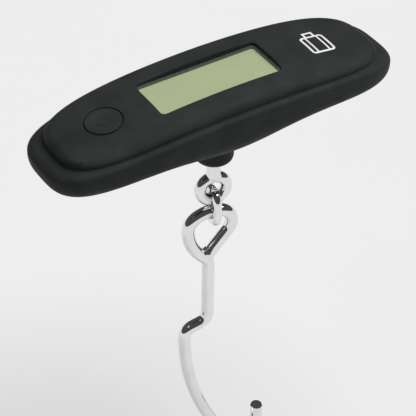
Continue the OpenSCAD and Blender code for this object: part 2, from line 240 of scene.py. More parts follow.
def inside(points, loop):
    """Which points lie inside a closed loop, by even and odd crossings."""
    x, y = points[:, 0][:, None], points[:, 1][:, None]
    x0, y0 = loop[:, 0][None], loop[:, 1][None]
    x1, y1 = np.roll(loop[:, 0], -1)[None], np.roll(loop[:, 1], -1)[None]
    rise = np.where(y1 == y0, 1e-12, y1 - y0)
    crosses = ((y0 > y) != (y1 > y)) & (x < x0 + (y - y0) * (x1 - x0) / rise)
    return crosses.sum(1) % 2 == 1


class Skin:
    """Rings of points in millimetres, and the faces between them."""

    def __init__(self):
        self.points = []
        self.faces = []

    def ring(self, points):
        start = len(self.points)
        self.points.extend(tuple(float(v) for v in p) for p in points)
        return list(range(start, len(self.points)))

    def bridge(self, a, b):
        n = len(a)
        for i in range(n):
            j = (i + 1) % n
            self.faces.append((a[i], a[j], b[j], b[i]))

    def rings(self, rows):
        """Adds rings of points, with a band of faces from each to the next."""
        made = [self.ring(r) for r in rows]
        for a, b in zip(made, made[1:]):
            self.bridge(a, b)
        return made

    def fill(self, outer, holes, height, cell=CELL):
        """Covers the region between an outer loop and holes with even triangles."""
        loops = [outer, *holes]
        ids = [i for loop in loops for i in loop]
        at = np.array([self.points[i][:2] for i in ids])
        edges, start = [], 0
        for loop in loops:
            n = len(loop)
            edges += [(start + i, start + (i + 1) % n) for i in range(n)]
            start += n
        shapes = [np.array([self.points[i][:2] for i in loop]) for loop in loops]
        low, high = at.min(0), at.max(0)
        rows = []
        for k, y in enumerate(np.arange(low[1] + 0.3 * cell, high[1], cell * 0.866)):
            xs = np.arange(low[0] + (0.3 + k % 2 / 2) * cell, high[0], cell)
            rows.append(np.column_stack([xs, np.full(len(xs), y)]))
        grid = np.concatenate(rows)
        keep = inside(grid, shapes[0])
        for hole in shapes[1:]:
            keep &= ~inside(grid, hole)
        grid = grid[keep]
        near = np.full(len(grid), np.inf)
        for p in at:
            near = np.minimum(near, np.hypot(*(grid - p).T))
        grid = grid[near > cell * 0.62]
        if len(grid):
            z = np.broadcast_to(height(grid[:, 0], grid[:, 1]), len(grid))
            ids += self.ring(np.column_stack([grid, z]))
        flat = [Vector(p) for p in np.concatenate([at, grid])]
        verts, _, faces, origin, _, _ = delaunay_2d_cdt(flat, edges, [], 0, 1e-7)
        verts = np.array(verts)
        middle = np.array([verts[list(f)].mean(0) for f in faces])
        keep = inside(middle, shapes[0])
        for hole in shapes[1:]:
            keep &= ~inside(middle, hole)
        for f, wanted in zip(faces, keep):
            if wanted:
                self.faces.append(tuple(ids[origin[v][0]] for v in f))

    def disc(self, loop, top):
        """Closes a loop with a fan round one point."""
        centre = np.mean([self.points[i] for i in loop], 0)
        middle = self.ring([(centre[0], centre[1], top)])[0]
        n = len(loop)
        self.faces.extend((loop[i], loop[(i + 1) % n], middle) for i in range(n))

    def build(self, name):
        """The mesh as a Blender object in metres, with its faces turned outwards."""
        mesh = bpy.data.meshes.new(name)
        mesh.from_pydata((np.array(self.points) * MM).tolist(), [], self.faces)
        made = bpy.data.objects.new(name, mesh)
        bpy.context.scene.collection.objects.link(made)
        tidy(made)
        return made


def tidy(made):
    """Merges doubled points, drops loose ones and turns every face outwards."""
    work = bmesh.new()
    work.from_mesh(made.data)
    bmesh.ops.remove_doubles(work, verts=work.verts, dist=1e-7)
    bmesh.ops.delete(work, geom=[v for v in work.verts if not v.link_faces], context="VERTS")
    bmesh.ops.recalc_face_normals(work, faces=work.faces)
    work.to_mesh(made.data)
    work.free()


def smooth(made, angle=35):
    """Smooth shading, with edges kept sharp where faces meet at more than an angle."""
    for p in made.data.polygons:
        p.use_smooth = True
    made.data.set_sharp_from_angle(angle=math.radians(angle))


def combine(target, tools, operation, self_cut=False):
    """Cuts, joins or intersects tools with a target mesh, and removes the tools."""
    for tool in tools:
        step = target.modifiers.new("step", "BOOLEAN")
        step.operation = operation
        step.object = tool
        step.solver = "EXACT"
        step.use_self = self_cut
        bpy.context.view_layer.update()
        evaluated = target.evaluated_get(bpy.context.evaluated_depsgraph_get())
        result = bpy.data.meshes.new_from_object(evaluated)
        target.modifiers.clear()
        target.data = result
        bpy.data.objects.remove(tool)
    tidy(target)


def circle(x, y, r, n=96):
    turn = np.linspace(0, 2 * math.pi, n, endpoint=False)
    return np.column_stack([x + r * np.cos(turn), y + r * np.sin(turn)])


def rounded(x, y, length, width, r, corner=10, side=22):
    """Rectangle with rounded corners, as a closed loop that has the same points at every size."""
    points = []
    starts = [(1, 1, 0), (-1, 1, 90), (-1, -1, 180), (1, -1, 270)]
    for k, (sx, sy, first) in enumerate(starts):
        cx, cy = x + sx * (length / 2 - r), y + sy * (width / 2 - r)
        for i in range(corner + 1):
            turn = math.radians(first + 90 * i / corner)
            points.append((cx + r * math.cos(turn), cy + r * math.sin(turn)))
        nx, ny, following = starts[(k + 1) % 4]
        turn = math.radians(following)
        end_x = x + nx * (length / 2 - r) + r * math.cos(turn)
        end_y = y + ny * (width / 2 - r) + r * math.sin(turn)
        last_x, last_y = points[-1]
        for i in range(1, side):
            points.append((
                last_x + (end_x - last_x) * i / side,
                last_y + (end_y - last_y) * i / side,
            ))
    return np.array(points)


def lift(loop, height):
    """A flat loop raised to a height, which is a number or a function of x and y."""
    z = height(loop[:, 0], loop[:, 1]) if callable(height) else height
    return np.column_stack([loop, np.broadcast_to(z, len(loop))])


def turned(name, profile, x=0.0, y=0.0, n=64):
    """Solid of revolution from (radius, height) pairs that start and end at radius 0."""
    skin = Skin()
    made = skin.rings([lift(circle(x, y, r, n), z) for r, z in profile[1:-1]])
    skin.disc(made[0], profile[0][1])
    skin.disc(made[-1], profile[-1][1])
    return skin.build(name)


def block(name, loop, z0, z1):
    """Upright solid over a flat loop."""
    skin = Skin()
    low, high = skin.rings([lift(loop, z0), lift(loop, z1)])
    skin.fill(low, [], lambda x, y: z0, cell=3.0)
    skin.fill(high, [], lambda x, y: z1, cell=3.0)
    return skin.build(name)


def quarter(count):
    """Angles from 0 to 90 degrees."""
    return np.linspace(0, math.pi / 2, count + 1)


# ---------------------------------------------------------------- materials

def material(name, colour, roughness, metallic=0.0):
    """A principled material; returns it with its node tree and its shader node."""
    made = bpy.data.materials.new(name)
    made.use_nodes = True
    tree = made.node_tree
    shader = tree.nodes["Principled BSDF"]
    shader.inputs["Base Color"].default_value = (*colour, 1)
    shader.inputs["Roughness"].default_value = roughness
    shader.inputs["Metallic"].default_value = metallic
    return made, tree, shader


def noise(tree, scale, detail=4.0, stretch=(1, 1, 1)):
    """Noise in the object's own coordinates, in features per metre; returns its value socket."""
    place = tree.nodes.new("ShaderNodeTexCoord")
    mapping = tree.nodes.new("ShaderNodeMapping")
    mapping.inputs["Scale"].default_value = stretch
    texture = tree.nodes.new("ShaderNodeTexNoise")
    texture.inputs["Scale"].default_value = scale
    texture.inputs["Detail"].default_value = detail
    tree.links.new(place.outputs["Object"], mapping.inputs["Vector"])
    tree.links.new(mapping.outputs["Vector"], texture.inputs["Vector"])
    return texture.outputs["Fac"]


def vary_colour(tree, shader, value, low, high, spread=(0.35, 0.65)):
    """Base colour that runs from low to high with a value."""
    ramp = tree.nodes.new("ShaderNodeValToRGB")
    ramp.color_ramp.elements[0].position = spread[0]
    ramp.color_ramp.elements[1].position = spread[1]
    ramp.color_ramp.elements[0].color = (*low, 1)
    ramp.color_ramp.elements[1].color = (*high, 1)
    tree.links.new(value, ramp.inputs["Fac"])
    tree.links.new(ramp.outputs["Color"], shader.inputs["Base Color"])


def vary_roughness(tree, shader, value, low, high):
    """Roughness that runs from low to high with a value."""
    spread = tree.nodes.new("ShaderNodeMapRange")
    spread.inputs["From Min"].default_value = 0.3
    spread.inputs["From Max"].default_value = 0.7
    spread.inputs["To Min"].default_value = low
    spread.inputs["To Max"].default_value = high
    tree.links.new(value, spread.inputs["Value"])
    tree.links.new(spread.outputs["Result"], shader.inputs["Roughness"])


def bump(tree, shader, value, strength, depth_mm):
    """Fine relief from a value."""
    relief = tree.nodes.new("ShaderNodeBump")
    relief.inputs["Strength"].default_value = strength
    relief.inputs["Distance"].default_value = depth_mm * MM
    tree.links.new(value, relief.inputs["Height"])
    tree.links.new(relief.outputs["Normal"], shader.inputs["Normal"])


def soft_touch(name, tint=1.0):
    """Soft-touch matte black plastic: fine even grain, faint cloudiness, a soft sheen."""
    base = tuple(v * tint for v in (0.0215, 0.0245, 0.0240))
    made, tree, shader = material(name, base, 0.55)
    shader.inputs["Specular IOR Level"].default_value = 0.10
    shader.inputs["Sheen Weight"].default_value = 0.03
    shader.inputs["Sheen Roughness"].default_value = 0.5
    cloud = noise(tree, 90, 3)
    vary_colour(tree, shader, cloud, tuple(v * 0.85 for v in base), tuple(v * 1.15 for v in base))
    vary_roughness(tree, shader, noise(tree, 260, 4), 0.58, 0.70)
    bump(tree, shader, noise(tree, 4200, 2), 0.25, 0.02)
    return made


def chrome():
    """Bright chrome plate with hairline polishing marks and faint handling smears."""
    made, tree, shader = material("chrome_plate", (0.86, 0.865, 0.87), 0.05, 1.0)
    vary_colour(tree, shader, noise(tree, 150, 3), (0.775, 0.78, 0.79), (0.83, 0.83, 0.83))
    vary_roughness(tree, shader, noise(tree, 420, 5, (1, 1, 0.25)), 0.03, 0.085)
    bump(tree, shader, noise(tree, 2600, 3, (1, 1, 0.12)), 0.05, 0.01)
    return made


def clear_lens():
    """Clear acrylic window: thin, glossy, with the faintest tint."""
    made, tree, shader = material("clear_acrylic", (0.55, 0.58, 0.50), 0.06)
    shader.inputs["Alpha"].default_value = 0.08
    shader.inputs["Specular IOR Level"].default_value = 0.5
    vary_roughness(tree, shader, noise(tree, 700, 4), 0.05, 0.10)
    bump(tree, shader, noise(tree, 900, 2), 0.02, 0.01)
    return made


def display():
    """Reflective display: grey-green, with a fine grain under the front polariser."""
    made, tree, shader = material("display_glass", (0.42, 0.48, 0.26), 0.32)
    vary_colour(tree, shader, noise(tree, 60, 2), (0.400, 0.462, 0.245), (0.440, 0.500, 0.275))
    bump(tree, shader, noise(tree, 6000, 2), 0.08, 0.01)
    return made


def plastic(name, low, high, rough=(0.35, 0.5), grain=1800, specular=0.5):
    """Moulded plastic with slight colour variation and a fine spark finish."""
    made, tree, shader = material(name, high, rough[0])
    shader.inputs["Specular IOR Level"].default_value = specular
    vary_colour(tree, shader, noise(tree, 220, 3), low, high)
    vary_roughness(tree, shader, noise(tree, 500, 3), *rough)
    bump(tree, shader, noise(tree, grain, 3), 0.2, 0.02)
    return made


def metal(name, low, high, rough=(0.22, 0.38), stretch=(1, 1, 1), grain=2400):
    """Plated or milled metal with fine marks along one direction."""
    made, tree, shader = material(name, high, rough[0], 1.0)
    vary_colour(tree, shader, noise(tree, 300, 3), low, high)
    vary_roughness(tree, shader, noise(tree, 900, 4, stretch), *rough)
    bump(tree, shader, noise(tree, grain, 3, stretch), 0.2, 0.012)
    return made


def solder_mask():
    """Green circuit board: darker tracks show through the solder mask in straight runs."""
    made, tree, shader = material("solder_mask", (0.015, 0.12, 0.045), 0.25)
    place = tree.nodes.new("ShaderNodeTexCoord")
    tracks = tree.nodes.new("ShaderNodeTexBrick")
    tracks.inputs["Scale"].default_value = 260
    tracks.inputs["Mortar Size"].default_value = 0.06
    tracks.inputs["Color1"].default_value = (0.012, 0.105, 0.038, 1)
    tracks.inputs["Color2"].default_value = (0.016, 0.125, 0.046, 1)
    tracks.inputs["Mortar"].default_value = (0.045, 0.20, 0.06, 1)
    tree.links.new(place.outputs["Object"], tracks.inputs["Vector"])
    tree.links.new(tracks.outputs["Color"], shader.inputs["Base Color"])
    vary_roughness(tree, shader, noise(tree, 800, 3), 0.2, 0.32)
    bump(tree, shader, tracks.outputs["Fac"], 0.3, 0.02)
    return made


SHELL = soft_touch("soft_touch_shell")
CAP = soft_touch("soft_touch_cap", 1.12)
CHROME = chrome()
MARK = plastic("printed_mark", (0.78, 0.78, 0.78), (0.86, 0.86, 0.86), (0.45, 0.6))

# Finish of each CAD node that keeps its own mesh, by its material slot.
FINISHES = {
    "lcd": display(),
    "foil": metal("diffuse_foil", (0.55, 0.58, 0.45), (0.64, 0.67, 0.52), (0.4, 0.55)),
    "white_plastic": plastic("white_moulding", (0.66, 0.66, 0.62), (0.74, 0.74, 0.70)),
    "zebra": plastic(
        "conductive_rubber", (0.55, 0.22, 0.30), (0.68, 0.30, 0.40), (0.6, 0.75), 5200,
    ),
    "black_plastic": plastic("black_moulding", (0.012, 0.012, 0.012), (0.022, 0.022, 0.022)),
    "board": solder_mask(),
    "epoxy": plastic("cast_epoxy", (0.006, 0.006, 0.006), (0.012, 0.012, 0.012), (0.12, 0.3), 600),
    "nickel": metal(
        "nickel_plate", (0.60, 0.59, 0.55), (0.70, 0.69, 0.65), (0.15, 0.3), (1, 0.15, 1),
    ),
    "ceramic": plastic("fired_ceramic", (0.25, 0.17, 0.10), (0.38, 0.27, 0.17), (0.4, 0.6)),
    "zinc": metal("zinc_plate", (0.52, 0.54, 0.57), (0.66, 0.67, 0.68), (0.25, 0.42)),
    "beam": metal(
        "milled_aluminium", (0.66, 0.67, 0.69), (0.76, 0.77, 0.78), (0.28, 0.42), (0.1, 1, 1),
    ),
    "gauge": plastic("polyimide_film", (0.48, 0.25, 0.05), (0.62, 0.36, 0.09), (0.2, 0.35), 3000),
    "lead_red": plastic("red_insulation", (0.40, 0.015, 0.015), (0.52, 0.025, 0.02), (0.35, 0.5)),
    "brass_washer": metal("turned_brass", (0.66, 0.46, 0.20), (0.78, 0.57, 0.27), (0.2, 0.34)),
    "lead_black": plastic(
        "black_insulation", (0.012, 0.012, 0.012), (0.02, 0.02, 0.02), (0.35, 0.5),
    ),
}


CROWN = 0.010
CROWN_PLATEAU_Y = 11
CROWN_DEPTH = 1.0


def crown(made):
    """Bends the top of a piece down towards the near long side."""
    at = np.empty(len(made.data.vertices) * 3)
    made.data.vertices.foreach_get("co", at)
    at = at.reshape(-1, 3) / MM
    x, y, z = at.T
    top = plateau_z(x)
    base = np.where(np.abs(y) > CROWN_PLATEAU_Y, shoulder_z(x), top - CROWN_DEPTH)
    share = np.clip((z - base) / (top - base), 0, 1)
    at[:, 2] = z - share * CROWN * np.minimum(y, 0) ** 2
    made.data.vertices.foreach_set("co", (at * MM).ravel())
    made.data.update()


def place(made, body, finish, slot, *nodes, angle=35):
    """Finishes a piece: shading, material, the body it rides on and the CAD nodes it stands for."""
    smooth(made, angle)
    made.data.materials.clear()
    made.data.materials.append(finish)
    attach(made, body)
    if nodes:
        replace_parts(made, *nodes)
    return made


# ---------------------------------------------------------------- upper half of the body

WINDOW_CORNER = 1.5
WINDOW_FLARE = 0.5
WINDOW_CORNER_FLARE = 0.8
BUTTON_FLARE = 0.3
LENS_LIP = 0.6
FRAME_Z = 8.7
FRAME_RIM = 1.3
CASE_X, CASE_Y = 54.5, 6.5
CASE_SCREWS = [(sx * CASE_X, sy * CASE_Y) for sx in (-1, 1) for sy in (-1, 1)]
SCREW_HOLE = 1.0
CASE_POST = (2, 1.2, 5.3, 4.3)
BOARD_POST_R = 2
BOARD_POST_FOOT = 3.8
BOARD_POST_TOPS = (10, 7.6)
BOARD_BORE_TOP = 7
BOARD_SCREWS = [(-44, 9.5), (-44, -9.5), (24.5, 9.5), (24.5, -9.5)]


def window_loop(grow, corner=WINDOW_CORNER):
    return rounded(WINDOW_X, 0, WINDOW_L + 2 * grow, WINDOW_W + 2 * grow, corner, side=64)


def post_with_bore(x, y, r, z0, z1, bore_top):
    """Screw post with a blind hole from below."""
    profile = [(0, bore_top), (SCREW_HOLE, bore_top), (SCREW_HOLE, z0), (r, z0), (r, z1), (0, z1)]
    return turned("post", profile, x, y, 32)


def wall_height(x):
    """Height of the wall from the ledge up to the plateau."""
    return plateau_z(x) - shoulder_z(x)


def top_cover():
    """Upper shell: ledge, plateau, window and button openings, and screw posts inside."""
    skin = Skin()
    rows = [rim(SEAM, SEAM, parting_z), rim(0, 0, lambda x: parting_z(x) + SEAM)]
    for k in (0.35, 0.7):
        rows.append(rim(
            0, 0,
            lambda x, k=k: parting_z(x) * (1 - k) + (shoulder_z(x) - LEDGE_EDGE[1]) * k,
        ))
    for a in quarter(12):
        rows.append(rim(
            LEDGE_EDGE[0] * (1 - math.cos(a)),
            LEDGE_EDGE[1] * (1 - math.cos(a)),
            lambda x, a=a: shoulder_z(x) - LEDGE_EDGE[1] * (1 - math.sin(a)),
        ))
    for a in quarter(5):
        rows.append(rim(
            PLATEAU_FOOT[0] - FOOT_FILLET * (1 - math.sin(a)),
            PLATEAU_FOOT[1] - FOOT_FILLET * (1 - math.sin(a)),
            lambda x, a=a: shoulder_z(x) + FOOT_SHARE * wall_height(x) * (1 - math.cos(a)),
        ))
    for a in quarter(12):
        rows.append(rim(
            PLATEAU_FOOT[0] + BROW * (1 - math.cos(a)),
            PLATEAU_FOOT[1] + BROW * (1 - math.cos(a)),
            lambda x, a=a: plateau_z(x) - BROW_SHARE * wall_height(x) * (1 - math.sin(a)),
        ))
    outer = skin.rings(rows)

    rows = [rim(WALL, WALL, parting_z)]
    for a in quarter(4):
        rows.append(rim(
            WALL + LEDGE_EDGE[0] * (1 - math.cos(a)),
            WALL + LEDGE_EDGE[1] * (1 - math.cos(a)),
            lambda x, a=a: ledge_z(x) - WALL - LEDGE_EDGE[1] * (1 - math.sin(a)),
        ))
    for a in quarter(3):
        rows.append(rim(
            INNER_FOOT[0] + INNER_BROW * (1 - math.cos(a)),
            INNER_FOOT[1] + INNER_BROW * (1 - math.cos(a)),
            lambda x, a=a: plateau_z(x) - WALL - INNER_BROW * (1 - math.sin(a)),
        ))
    inner = skin.rings(rows)
    skin.bridge(outer[0], inner[0])

    wall = []
    for a in quarter(8):
        wide, deep = 1 - math.sin(a), 1 - math.cos(a)
        loop = window_loop(WINDOW_FLARE * wide, WINDOW_CORNER + WINDOW_CORNER_FLARE * wide)
        wall.append(lift(
            loop,
            lambda x, y, d=deep: plateau_z(x) + (LENS_TOP + 0.1 - plateau_z(x)) * d,
        ))
    through = window_loop(-LENS_LIP, 1.0)
    frame_edge = window_loop(FRAME_RIM, 2)
    wall += [
        lift(window_loop(0), LENS_Z),
        lift(through, LENS_Z),
        lift(through, FRAME_Z),
        lift(frame_edge, FRAME_Z),
        lift(frame_edge, lambda x, y: plateau_z(x) - WALL),
    ]
    window = skin.rings(wall)

    bore = []
    for a in quarter(5):
        loop = circle(BUTTON_X, 0, BUTTON_R + BUTTON_GAP + BUTTON_FLARE * (1 - math.sin(a)))
        bore.append(lift(loop, lambda x, y, a=a: plateau_z(x) - BUTTON_FLARE * (1 - math.cos(a))))
    bore.append(lift(circle(BUTTON_X, 0, BUTTON_R + BUTTON_GAP), lambda x, y: plateau_z(x) - WALL))
    button = skin.rings(bore)

    skin.fill(outer[-1], [window[0], button[0]], lambda x, y: plateau_z(x))
    skin.fill(inner[-1], [window[-1], button[-1]], lambda x, y: plateau_z(x) - WALL, cell=1.6)
    made = skin.build("top_shell")
    posts = [post_with_bore(x, y, *CASE_POST) for x, y in CASE_SCREWS]
    for x, y in BOARD_SCREWS:
        top = BOARD_POST_TOPS[0] if x > 0 else BOARD_POST_TOPS[1]
        posts.append(post_with_bore(x, y, BOARD_POST_R, BOARD_POST_FOOT, top, BOARD_BORE_TOP))
    combine(made, posts, "UNION")
    crown(made)
    return place(made, "root", SHELL, "shell", "top_cover")


# ---------------------------------------------------------------- lower half of the body

CAVITY_OVERLAP = 1.0
DOOR_CORNER = 3.0
DOOR_GAP = 0.3
DOOR_EDGE = 0.3
SHELF_TOP = -4.0
BAY_ROOF = -1.0
BAY_WALL = 1.2
CELL_SCREWS = (-44, -36)
CAVITY_FLOOR = -9.5
BAY_STEP = 0.1
CASE_BORE = (2.15, -3.0, 1.15, 0.8)
CELL_BORE = (3.0, -6.4, 1.55, -4.8)
BOSS_BLEND = 1.1
BOSS_NECK = 1.4


def fillet_into(loop_at, height, radius, steps=4):
    """Rings that roll from a surface over an edge of a given radius into an upright wall."""
    rows = []
    for a in quarter(steps):
        loop = loop_at(radius * (1 - math.sin(a)))
        rows.append(lift(loop, lambda x, y, a=a: height(x, y) + radius * (1 - math.cos(a))))
    return rows


def lower_cavity():
    """The hollow inside the lower half, with the bay, shelf, pad and posts left standing."""
    skin = Skin()
    rows = [rim(WALL, WALL, lambda x: parting_z(x) + CAVITY_OVERLAP)]
    rows += [belly_ring(math.radians(a), WALL) for a in (1, 8, 16, 24, 32, 40)]
    made = skin.rings(rows)
    skin.fill(made[0], [], lambda x, y: parting_z(x) + CAVITY_OVERLAP, cell=3.0)
    skin.fill(made[-1], [], lambda x, y: belly_height(x, y, WALL), cell=1.6)
    cavity = skin.build("cavity")
    shelf = rounded(DOOR_X, 0, DOOR_L + 2 * BAY_WALL, DOOR_W + 2 * BAY_WALL, DOOR_CORNER)
    standing = [
        block("pad", rounded(-41, 0, 16, 13, 0.5), -9, -5.4),
        block("shelf", shelf, CAVITY_FLOOR, SHELF_TOP),
        block("bay", circle(DOOR_X, 0, BAY_R + BAY_WALL), CAVITY_FLOOR, BAY_ROOF + 1),
    ]
    standing += [block("post", circle(x, y, 3, 40), CAVITY_FLOOR, 0.6) for x, y in CASE_SCREWS]
    combine(cavity, standing, "DIFFERENCE")
    return cavity


def bottom_shell():
    """Lower shell: belly, boss for the shank, battery bay and screw holes."""
    skin = Skin()
    rows = [rim(SEAM, SEAM, parting_z), rim(0, 0, lambda x: parting_z(x) - SEAM)]
    rows += [rim(0, 0, lambda x, k=k: parting_z(x) * k) for k in (0.6, 0.25)]
    rows += [belly_ring(math.radians(a), 0) for a in np.linspace(0.6, 40, 16)]
    outer = skin.rings(rows)
    skin.fill(outer[0], [], lambda x, y: parting_z(x), cell=3.0)

    holes = []
    rows = []
    for a in quarter(8):
        loop = circle(0, 0, BOSS_R + BOSS_BLEND * (1 - math.sin(a)))
        rows.append(lift(
            loop,
            lambda x, y, a=a: belly_height(x, y) - BOSS_NECK * (1 - math.cos(a)),
        ))
    for a in quarter(10):
        r = BOSS_R - BOSS_EDGE * (1 - math.cos(a))
        rows.append(lift(circle(0, 0, r), BOSS_Z + BOSS_EDGE * (1 - math.sin(a))))
    for a in quarter(4):
        r = SHANK_HOLE + SHANK_HOLE_EDGE * (1 - math.sin(a))
        rows.append(lift(circle(0, 0, r), BOSS_Z + SHANK_HOLE_EDGE * (1 - math.cos(a))))
    rows.append(lift(circle(0, 0, SHANK_HOLE), SHANK_HOLE_TOP))
    boss = skin.rings(rows)
    skin.disc(boss[-1], SHANK_HOLE_TOP)
    holes.append(boss[0])

    def doorway(grow):
        gap = 2 * (DOOR_GAP + grow)
        return rounded(DOOR_X, 0, DOOR_L + gap, DOOR_W + gap, DOOR_CORNER)

    rows = fillet_into(doorway, belly_height, DOOR_EDGE)
    rows.append(lift(rows[-1][:, :2], DOOR_Z + BAY_STEP))
    door = skin.rings(rows)
    bay = skin.rings([lift(circle(DOOR_X, 0, BAY_R), z) for z in (DOOR_Z + BAY_STEP, BAY_ROOF)])
    skin.fill(door[-1], [bay[0]], lambda x, y: DOOR_Z + BAY_STEP, cell=2.0)
    skin.disc(bay[-1], BAY_ROOF)
    holes.append(door[0])

    bores = [(x, y, *CASE_BORE) for x, y in CASE_SCREWS]
    bores += [(x, 0, *CELL_BORE) for x in CELL_SCREWS]
    for x0, y0, r, seat, small, top in bores:
        def mouth(grow, x0=x0, y0=y0, r=r):
            return circle(x0, y0, r + grow, 40)

        rows = fillet_into(mouth, belly_height, 0.2, 3)
        for loop_r, z in ((r, seat), (small, seat), (small, top)):
            rows.append(lift(circle(x0, y0, loop_r, 40), z))
        bore = skin.rings(rows)
        skin.disc(bore[-1], top)
        holes.append(bore[0])

    skin.fill(outer[-1], holes, belly_height, cell=0.8)
    made = skin.build("lower_shell")
    notch = rounded(30, 0, 4, 8, 0.4)
    combine(made, [lower_cavity(), block("notch", notch, -4.6, BAY_ROOF)], "DIFFERENCE")
    return place(made, "root", SHELL, "shell", "bottom_shell")


GRIP_PITCH = 1.6
GRIP_SHIFT = 5
GRIP_L, GRIP_W = 0.8, 9
GRIP_FLOOR = -7.6


def battery_door():
    """Flush hatch with five finger grooves."""
    skin = Skin()

    def edge(shrink):
        return rounded(DOOR_X, 0, DOOR_L - 2 * shrink, DOOR_W - 2 * shrink, DOOR_CORNER - shrink)

    rows = [lift(edge(0), DOOR_Z)]
    for a in quarter(4):
        rows.append(lift(
            edge(DOOR_EDGE * (1 - math.cos(a))),
            lambda x, y, a=a: belly_height(x, y) + DOOR_EDGE * (1 - math.sin(a)),
        ))
    outside = skin.rings(rows)
    skin.fill(outside[0], [], lambda x, y: DOOR_Z, cell=2.0)
    holes = []
    for i in range(-2, 3):
        x0 = DOOR_X + GRIP_SHIFT + i * GRIP_PITCH

        def groove(grow, x0=x0):
            length, width = GRIP_L + 2 * grow, GRIP_W + 2 * grow
            return rounded(x0, 0, length, width, GRIP_L / 2 + grow, corner=6, side=10)

        rows = fillet_into(groove, belly_height, 0.15, 3)
        rows.append(lift(groove(0), GRIP_FLOOR))
        made = skin.rings(rows)
        skin.fill(made[-1], [], lambda x, y: GRIP_FLOOR, cell=1.0)
        holes.append(made[0])
    skin.fill(outside[-1], holes, belly_height, cell=0.7)
    return place(skin.build("battery_hatch"), "door", SHELL, "shell", "battery_door")


# ---------------------------------------------------------------- button, window and printed mark

DISH_R = 5.2
DISH = 0.22
DISH_EYE = 0.3
CAP_EDGE = 0.45
FLANGE = 1.2
FLANGE_THICK = 0.8
STEM_R, STEM_Z = 1.2, 7.1
HOLLOW_R, HOLLOW_Z = 4.6, 7.7


def cap_plane(x):
    """Height of the cap's top, which follows the plateau's slope at the button."""
    slope = 2 * PLATEAU_H * PLATEAU_ARCH * -BUTTON_X / NOMINAL_HALF**2
    return plateau_z(BUTTON_X) + (x - BUTTON_X) * slope


def power_button():
    """Cap with a softened edge and a shallow dish, hollow underneath; the raised power sign on it
    is a separate piece.
    """
    skin = Skin()

    def ring_at(r, drop):
        return lift(circle(BUTTON_X, 0, r), lambda x, y: cap_plane(x) - drop)

    flange_r, flange_z = BUTTON_R + FLANGE, button_low[2]
    flange_top = flange_z + FLANGE_THICK
    rows = [lift(circle(BUTTON_X, 0, r), z) for r, z in (
        (STEM_R, STEM_Z), (STEM_R, HOLLOW_Z), (HOLLOW_R, HOLLOW_Z), (HOLLOW_R, flange_z),
        (flange_r, flange_z), (flange_r, flange_top), (BUTTON_R, flange_top),
    )]
    for a in quarter(8):
        rows.append(ring_at(BUTTON_R - CAP_EDGE * (1 - math.cos(a)), CAP_EDGE * (1 - math.sin(a))))
    for k in np.linspace(0, 1, 9):
        drop = DISH * (1 - math.cos(math.pi * k)) / 2
        rows.append(ring_at(DISH_R * (1 - k) + DISH_EYE * k, drop))
    made = skin.rings(rows)
    skin.disc(made[0], STEM_Z)
    skin.disc(made[-1], cap_plane(BUTTON_X) - DISH)
    return place(skin.build("button_cap"), "button", CAP, "cap", "power_button")


def arc_band(radius, stroke, gap_turn, n=48):
    """Open ring with square ends, as a closed loop of points about the origin."""
    turns = np.linspace(math.pi / 2 + gap_turn, math.pi * 2.5 - gap_turn, n)
    wide, narrow = radius + stroke / 2, radius - stroke / 2
    outside = [(math.cos(t) * wide, math.sin(t) * wide) for t in turns]
    within = [(math.cos(t) * narrow, math.sin(t) * narrow) for t in turns[::-1]]
    return np.array(outside + within)


def inlay(skin, loop, surface, raise_by, sink_by=0.05, holes=()):
    """Thin flat shape, a loop with holes, raised above a surface and sunk a little into it."""
    tops, floors = [], []
    for shape in [loop, *holes]:
        top, low = skin.rings([
            lift(shape, lambda x, y: surface(x, y) + raise_by),
            lift(shape, lambda x, y: surface(x, y) - sink_by),
        ])
        tops.append(top)
        floors.append(low)
    skin.fill(tops[0], tops[1:], lambda x, y: surface(x, y) + raise_by, cell=0.6)
    skin.fill(floors[0], floors[1:], lambda x, y: surface(x, y) - sink_by, cell=0.6)


def power_sign():
    """Raised arc and bar in the cap's dish."""
    skin = Skin()

    def dish(x, y):
        k = 1 - (np.hypot(x - BUTTON_X, y) - DISH_EYE) / (DISH_R - DISH_EYE)
        return cap_plane(x) - DISH * (1 - np.cos(math.pi * np.clip(k, 0, 1))) / 2

    centre = np.array([BUTTON_X, 0])
    stroke, raised = 0.42, 0.09
    inlay(skin, arc_band(2.0, stroke, math.radians(32)) + centre, dish, raised)
    inlay(skin, rounded(BUTTON_X, 1.75, stroke, 1.9, 0.2, corner=5, side=5), dish, raised)
    return place(skin.build("power_sign"), "button", CAP, "cap")


def display_window():
    """Clear window with bevelled edges."""
    skin = Skin()
    bevel = 0.2
    edges = ((-bevel, LENS_Z), (0, LENS_Z + bevel), (0, LENS_TOP - bevel), (-bevel, LENS_TOP))
    rows = []
    for grow, z in edges:
        length, width = WINDOW_L - LENS_PLAY + 2 * grow, WINDOW_W - LENS_PLAY + 2 * grow
        rows.append(lift(rounded(WINDOW_X, 0, length, width, 1.4 + grow), z))
    made = skin.rings(rows)
    skin.fill(made[0], [], lambda x, y: LENS_Z, cell=3.0)
    skin.fill(made[-1], [], lambda x, y: LENS_TOP, cell=3.0)
    return place(skin.build("clear_window"), "root", clear_lens(), "lens", "display_lens", angle=25)


